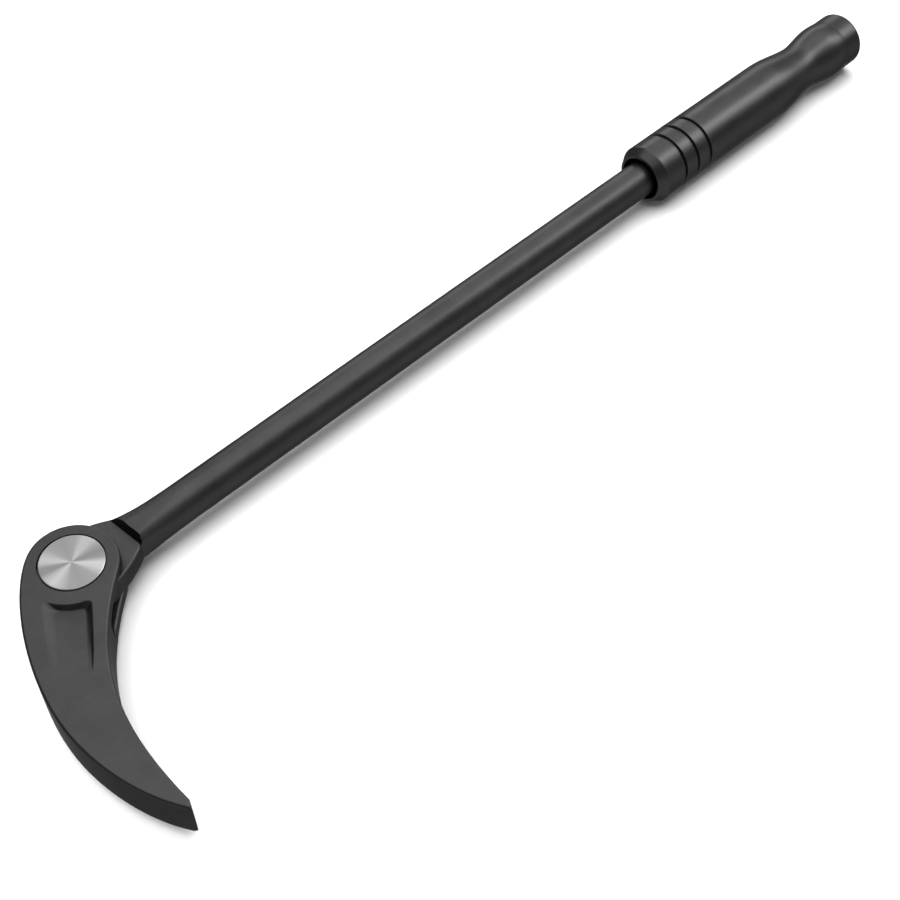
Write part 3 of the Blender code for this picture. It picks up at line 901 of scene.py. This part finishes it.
class PRYBAR_OT_grip(bpy.types.Operator):
    """Turn the grip with its conical front, three grooves, barrel, waist and end band"""

    bl_idname = "prybar.grip"
    bl_label = "Grip"

    def execute(self, context):
        sizes, colours = context.scene.prybar_sizes, context.scene.prybar_colours
        outer, front, rear = sizes.grip_radius, GRIP_FRONT, GRIP_REAR
        grooves = [corner for x in GROOVES for corner in grip_groove(sizes, x)]
        cone_top = (outer, front + 0.0030)
        band, rear_edge = (BAND_R, 0.3188), (BAND_R, rear)
        knots = [
            (MOUTH_R, front), (CONE_R, front), cone_top, *grooves,
            ((outer, 0.2836), None, (outer, 0.2912)),
            ((0.0080, 0.3022), (0.0080, 0.2965), (0.0080, 0.3060)),
            ((0.0095, 0.3146), (0.0095, 0.3110), (0.0095, 0.3166)),
            (band, (0.00935, 0.3182), None),
            rear_edge, (REAR_BORE_R, rear), (REAR_BORE_R, NUT_SEAT), (TAIL_R + GAP, NUT_SEAT),
            (TAIL_R + GAP, SEAT_END), (SEAT_BORE_R, SEAT_END), (SEAT_BORE_R, MOUTH_END),
            (MOUTH_R, MOUTH_END),
        ]
        lips = [(outer, x + side * (sizes.groove_width / 2 + GROOVE_SLOPE))
                for x in GROOVES for side in (-1, 1)]
        rounded = [(0.00012, lips), (0.0003, [cone_top, (CONE_R, front)]),
                   (0.0011, [rear_edge]), (0.0002, [(MOUTH_R, front), (REAR_BORE_R, rear)])]
        grip = turn("grip", knots, 'X', rounded, steps=128, line_steps=16)
        finish = black_finish("satin_black_grip", colours.black, colours.black_worn, 0.36, GRAIN)
        settle(grip, "turned_grip", "bar", finish, ("grip_sleeve",))

        roof, low, dish = 0.3240, 0.3196, rear - 0.0003
        plug = turn("plug", [(0.0, roof), (0.0058, roof), (0.0058, low), (PLUG_R, low),
                             (PLUG_R, rear), (0.0045, rear), (0.0042, dish), (0.0, dish)],
                    'X', [(0.0004, [(PLUG_R, rear)])])
        settle(plug, "grip_plug", "bar", finish, ("grip_end_plug",))
        nylon = nylon_finish("black_nylon", colours.nylon)
        low, high = 0.2266, 0.2322
        bush = turn("bush", [(SEAT_BORE_R, low), (BUSH_R, low), (BUSH_R, high),
                             (SEAT_BORE_R, high)],
                    'X', [(0.0002, [(SEAT_BORE_R, low), (BUSH_R, low)])])
        settle(bush, "nylon_bush", "bar", nylon, ("grip_bush",))
        return {'FINISHED'}


# ---------------------------------------------------------------- lock

class PRYBAR_OT_lock(bpy.types.Operator):
    """Turn the release button, wind the spring and make the cover under the head"""

    bl_idname = "prybar.lock"
    bl_label = "Lock"

    def execute(self, context):
        sizes, colours = context.scene.prybar_sizes, context.scene.prybar_colours
        self.button(sizes, colours)
        self.spring(sizes, colours)
        self.cover(colours)
        return {'FINISHED'}

    def button(self, sizes, colours):
        top, radius = sizes.button_top, sizes.button_radius
        knots = [(0.0, SCREW_HOLE_TOP), (SCREW_HOLE_R, SCREW_HOLE_TOP),
                 (SCREW_HOLE_R, HUB_BOTTOM), (HUB_R, HUB_BOTTOM), (HUB_R, LIP_BOTTOM),
                 (radius, LIP_BOTTOM), (radius, top), (0.0, top)]
        button = turn("button", knots, 'Z', [(0.0004, [(radius, top)])], steps=128)
        # the button's colour carries painted reflection sectors as well as its turning rings
        finish = turned_face_painted_reflections("turned_steel_painted_reflections", colours.steel, colours.steel_painted_dark_sector)
        settle(button, "spun_button", "lock", finish, ("release_button",))

    def spring(self, sizes, colours):
        """Wire section swept up a helix by a screw modifier."""
        wire = sizes.wire_radius
        low, high = COVER_TOP + SPRING_GAP + wire, GEAR_FACE - SPRING_GAP - wire
        bpy.ops.object.select_all(action='DESELECT')
        bpy.ops.mesh.primitive_circle_add(vertices=12, radius=wire, location=(COIL_R, 0, low),
                                          rotation=(math.pi / 2, 0, 0))
        spring = bpy.context.object
        bpy.ops.object.transform_apply(location=True, rotation=True, scale=True)
        sweep = spring.modifiers.new("sweep", 'SCREW')
        sweep.axis = 'Z'
        sweep.angle = 2 * math.pi
        sweep.screw_offset = (high - low) / SPRING_TURNS
        sweep.iterations = SPRING_TURNS
        sweep.steps = sweep.render_steps = 32
        work_on(spring)
        bpy.ops.object.modifier_apply(modifier=sweep.name)
        open_mesh(spring)
        for at_end in (lambda v: v.co.z < low + 2 * wire, lambda v: v.co.z > high - 2 * wire):
            pick(spring, 'EDGE', lambda e: e.is_boundary and all(at_end(v) for v in e.verts))
            bpy.ops.mesh.edge_face_add()
        face_out()
        close_mesh()
        finish = metal_finish("spring_steel", colours.spring, scaled(colours.spring, 0.6),
                              0.34, 0.0003)
        settle(spring, "wound_spring", "head", finish, ("return_spring",),
               weighted=False)
        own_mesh(spring)

    def cover(self, colours):
        low, rim, boss = -0.0052, COVER_BORE_R - GAP, (0.0045, -0.0035)
        dish = low + 0.0002
        knots = [(0.0, low), (0.0022, low), (0.0026, dish), (0.0070, dish), (0.0074, low),
                 (rim, low), (rim, COVER_TOP), (boss[0], COVER_TOP), boss, (0.0, boss[1])]
        cover = turn("cover", knots, 'Z', [(0.00015, [(rim, low), boss])])
        finish = black_finish("satin_black_cover", colours.black, colours.black_worn, 0.40, 0.0003)
        settle(cover, "cover_plate", "head", finish, ("spring_cover",))


class PRYBAR_OT_small_parts(bpy.types.Operator):
    """Give the hidden and small parts their metal finishes"""

    bl_idname = "prybar.small_parts"
    bl_label = "Small parts"

    def execute(self, context):
        colours = context.scene.prybar_colours
        hard = metal_finish("hardened_steel", colours.hardened, scaled(colours.hardened, 0.6),
                            0.38, 0.0004)
        ring = metal_finish("snap_ring_steel", colours.spring, scaled(colours.spring, 0.6),
                            0.36, 0.0003)
        zinc = metal_finish("zinc_plate", colours.zinc, scaled(colours.zinc, 0.75),
                            0.36, 0.0005)
        for node, finish in (("lock_gear", hard), ("retaining_ring", ring), ("button_screw", zinc),
                             ("grip_washer", zinc), ("grip_nut", zinc)):
            piece = frame["nodes"][node]
            piece.data.materials.clear()
            piece.data.materials.append(finish)
        return {'FINISHED'}


# ---------------------------------------------------------------- stage

class PRYBAR_OT_stage(bpy.types.Operator):
    """Set the pale floor and backdrop, the soft lights and the camera"""

    bl_idname = "prybar.stage"
    bl_label = "Stage"

    def execute(self, context):
        self.floor(context.scene.prybar_colours)
        self.backdrop()
        self.lights()
        self.camera()
        return {'FINISHED'}

    def floor(self, colours):
        bpy.ops.object.select_all(action='DESELECT')
        bpy.ops.mesh.primitive_plane_add(size=2 * ROOM_RADIUS, location=(0, 0, 0))
        floor = bpy.context.object
        floor.name = "floor"
        finish = Finish("pale_floor", Roughness=0.9)
        finish.shader.inputs["Specular IOR Level"].default_value = 0.1
        cloud = finish.noise(0.4, 2.0)
        lighter = tuple(min(1.0, part * 1.01) for part in colours.floor)
        finish.feed("Base Color", finish.blend_colours(cloud, colours.floor, lighter))
        floor.data.materials.append(finish.material)
        floor.visible_glossy = False

    def backdrop(self):
        """White room that only the camera sees."""
        bpy.ops.mesh.primitive_uv_sphere_add(segments=48, ring_count=24, radius=ROOM_RADIUS,
                                             location=(0, 0, 0))
        backdrop = bpy.context.object
        backdrop.name = "backdrop"
        finish = Finish("pale_backdrop", Roughness=1.0, Emission_Strength=1.0)
        finish.shader.inputs["Emission Color"].default_value = (1.0, 1.0, 1.0, 1.0)
        backdrop.data.materials.append(finish.material)
        backdrop.visible_glossy = backdrop.visible_diffuse = backdrop.visible_shadow = False

    def lights(self):
        """Room light, four panels for the reflections and one soft key."""
        world = bpy.data.worlds.new("studio")
        world.use_nodes = True
        nodes, links = world.node_tree.nodes, world.node_tree.links
        background = nodes["Background"]
        background.inputs["Color"].default_value = (1.0, 1.0, 1.0, 1.0)
        place = nodes.new('ShaderNodeTexCoord')
        height = nodes.new('ShaderNodeSeparateXYZ')
        fade = nodes.new('ShaderNodeMapRange')
        for socket, value in (("From Min", -0.15), ("From Max", 0.25),
                              ("To Min", LIGHT_BELOW), ("To Max", LIGHT_ABOVE)):
            fade.inputs[socket].default_value = value
        links.new(place.outputs["Generated"], height.inputs[0])
        links.new(height.outputs[2], fade.inputs["Value"])
        links.new(fade.outputs["Result"], background.inputs["Strength"])
        bpy.context.scene.world = world
        rows = (
            # name, centre, aim, width, depth, brightness
            ("overhead_panel", (0.42, 0.24, 1.00), (0.42, 0.24, 0.0), 1.60, 1.50, 1.7),
            ("side_panel", (1.05, -0.42, 0.90), (0.10, 0.0, 0.0), 0.42, 0.80, 6.0),
            ("back_panel", (1.00, 1.25, 0.52), (0.0, 0.0, 0.0), 1.40, 0.40, 6.5),
            ("low_panel", (1.60, 0.10, 0.35), (0.0, 0.0, 0.05), 1.00, 0.50, 3.0),
        )
        for name, place, aim, width, depth, brightness in rows:
            bpy.ops.object.light_add(type='AREA', location=place)
            lamp = bpy.context.object
            lamp.name = name
            lamp.data.shape = 'RECTANGLE'
            lamp.data.size, lamp.data.size_y = width, depth
            lamp.data.energy = brightness * width * depth * math.pi
            lamp.visible_diffuse = False
            direction = Vector(aim) - Vector(place)
            lamp.rotation_euler = direction.to_track_quat('-Z', 'Y').to_euler()
        bpy.ops.object.light_add(type='SUN', location=(0.0, 0.0, 2.0))
        key = bpy.context.object
        key.name = "soft_key"
        key.data.energy, key.data.angle = KEY_STRENGTH, KEY_ANGLE
        key.rotation_euler = Vector((0.02, -0.28, -1.4)).to_track_quat('-Z', 'Y').to_euler()
        key.visible_glossy = False
        bpy.context.scene.view_settings.view_transform = 'Standard'

    def camera(self):
        data = bpy.data.cameras.new("camera")
        camera = bpy.data.objects.new("camera", data)
        bpy.context.scene.collection.objects.link(camera)
        right = Vector((0.717739, -0.696175, -0.013833))
        up = Vector((0.544685, 0.548959, 0.634005))
        back = Vector((-0.433784, -0.462585, 0.773205))
        turn_to = Matrix((right, up, back)).transposed()
        place = PIVOT + Vector((-0.091283, -0.241049, 0.339544))
        camera.matrix_world = Matrix.Translation(place) @ turn_to.to_4x4()
        data.lens = 63.31
        data.sensor_width = 36.0
        data.clip_start, data.clip_end = 0.01, 20.0
        bpy.context.scene.camera = camera


# ---------------------------------------------------------------- add-on

class PRYBAR_PT_panel(bpy.types.Panel):
    """Lists the sizes, the colours and the pieces"""

    bl_idname = "PRYBAR_PT_panel"
    bl_label = "Pry bar"
    bl_space_type = 'VIEW_3D'
    bl_region_type = 'UI'
    bl_category = "Pry bar"

    def draw(self, context):
        layout = self.layout
        for group in (context.scene.prybar_sizes, context.scene.prybar_colours):
            box = layout.box()
            for name in group.__annotations__:
                box.prop(group, name)
        for operator in STEPS:
            layout.operator(operator.bl_idname)


STEPS = (PRYBAR_OT_head, PRYBAR_OT_bar, PRYBAR_OT_grip, PRYBAR_OT_lock,
         PRYBAR_OT_small_parts, PRYBAR_OT_stage)
CLASSES = (PryBarSizes, PryBarColours, *STEPS, PRYBAR_PT_panel)


def register():
    for cls in CLASSES:
        bpy.utils.register_class(cls)
    bpy.types.Scene.prybar_sizes = bpy.props.PointerProperty(type=PryBarSizes)
    bpy.types.Scene.prybar_colours = bpy.props.PointerProperty(type=PryBarColours)


def unregister():
    del bpy.types.Scene.prybar_colours
    del bpy.types.Scene.prybar_sizes
    for cls in reversed(CLASSES):
        bpy.utils.unregister_class(cls)


def main():
    register()
    bpy.ops.prybar.head()
    bpy.ops.prybar.bar()
    bpy.ops.prybar.grip()
    bpy.ops.prybar.lock()
    bpy.ops.prybar.small_parts()
    bpy.ops.prybar.stage()


if __name__ == "__main__":
    main()
